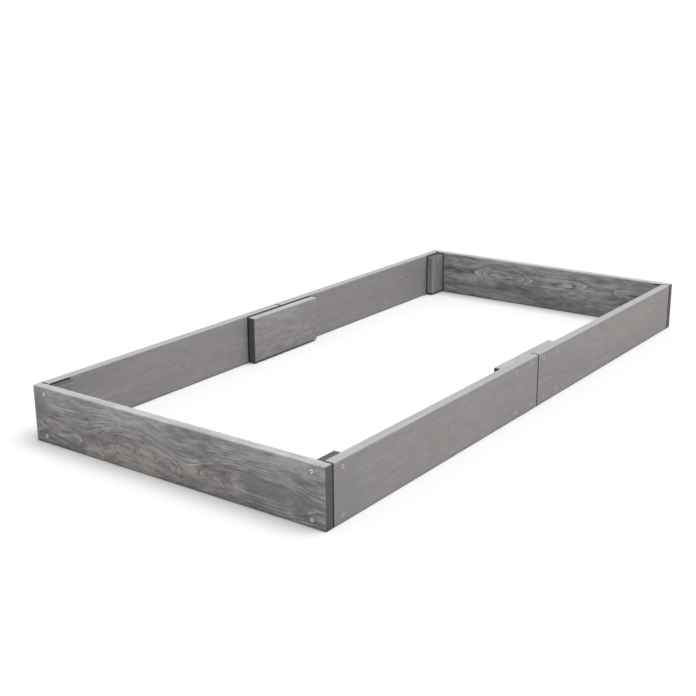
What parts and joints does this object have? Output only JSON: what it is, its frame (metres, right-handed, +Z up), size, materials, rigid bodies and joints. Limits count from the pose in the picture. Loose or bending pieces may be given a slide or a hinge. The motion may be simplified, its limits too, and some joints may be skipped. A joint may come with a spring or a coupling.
{
  "type": "cold frame base",
  "caption": "Low open rectangular frame of butt-jointed grey-stained timber boards, screwed to corner cleats and mid-side splice plates, to stand on soil as a cold frame base.",
  "frame": {"origin": "centre of the frame's outline, on the ground plane under the boards", "axes": "+Y along the long sides from the front board to the back board, +X to the right seen from the front, +Z up"},
  "size_m": [0.9, 1.85, 0.145],
  "materials": {
    "end_boards": "dark grey stained planed softwood, flat-sawn grain",
    "side_boards": "grey stained planed softwood, fine straight grain",
    "cleats": "grey stained sawn softwood batten",
    "splice_plates": "grey stained planed softwood offcut",
    "screws": "yellow zinc plated"
  },
  "bodies": {
    "root": {"front_board": "end_boards", "back_board": "end_boards", "left_front_board": "side_boards", "left_back_board": "side_boards", "right_front_board": "side_boards", "right_back_board": "side_boards", "front_left_cleat": "cleats", "front_right_cleat": "cleats", "back_left_cleat": "cleats", "back_right_cleat": "cleats", "left_splice_plate": "splice_plates", "right_splice_plate": "splice_plates", "front_left_end_screws": "screws", "front_right_end_screws": "screws", "back_left_end_screws": "screws", "back_right_end_screws": "screws", "front_left_side_screws": "screws", "front_right_side_screws": "screws", "back_left_side_screws": "screws", "back_right_side_screws": "screws", "left_front_splice_screws": "screws", "left_back_splice_screws": "screws", "right_front_splice_screws": "screws", "right_back_splice_screws": "screws"}
  },
  "joints": []
}
